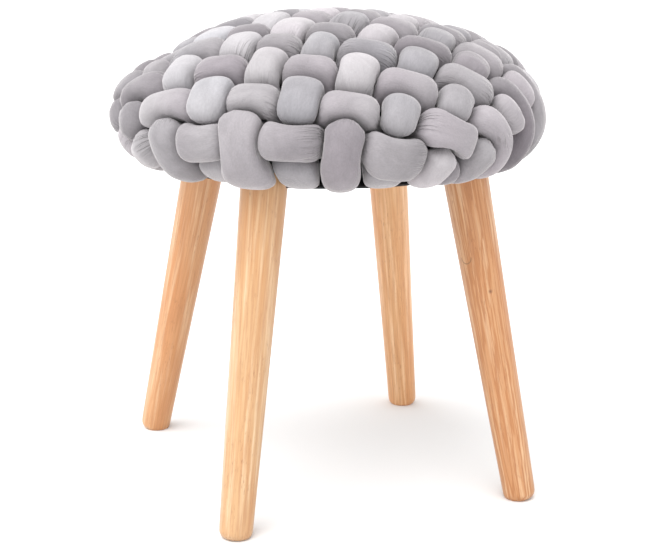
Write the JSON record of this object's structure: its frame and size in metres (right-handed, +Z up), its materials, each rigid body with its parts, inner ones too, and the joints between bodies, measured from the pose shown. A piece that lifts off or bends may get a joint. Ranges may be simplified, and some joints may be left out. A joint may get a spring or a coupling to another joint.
{
  "type": "round stool with woven padded seat",
  "caption": "Round low stool: a domed seat woven from fat stuffed velvet tubes over a padded board, on splayed, tapered, turned wooden legs with rounded feet.",
  "frame": {"origin": "on the floor, under the middle of the bounding box", "axes": "+Z up, the stool's height and longest side; -Y is the front, where the picture looks from, turned 20 degrees to the left"},
  "size_m": [0.4026, 0.3984, 0.441],
  "materials": {
    "velvet": "soft pale grey velvet",
    "black_cloth": "matte black cloth",
    "wood": "satin clear-lacquered light hardwood"
  },
  "bodies": {
    "root": {"warp_01": "velvet", "warp_02": "velvet", "warp_03": "velvet", "warp_04": "velvet", "warp_05": "velvet", "warp_06": "velvet", "warp_07": "velvet", "warp_08": "velvet", "warp_09": "velvet", "warp_10": "velvet", "warp_11": "velvet", "weft_01": "velvet", "weft_02": "velvet", "weft_03": "velvet", "weft_04": "velvet", "weft_05": "velvet", "weft_06": "velvet", "weft_07": "velvet", "weft_08": "velvet", "weft_09": "velvet", "weft_10": "velvet", "weft_11": "velvet", "weft_12": "velvet", "weft_13": "velvet", "weft_14": "velvet", "seat_base": "black_cloth", "bottom_cloth": "black_cloth", "leg_front_right": "wood", "leg_front_left": "wood", "leg_back_left": "wood", "leg_back_right": "wood"}
  },
  "joints": []
}
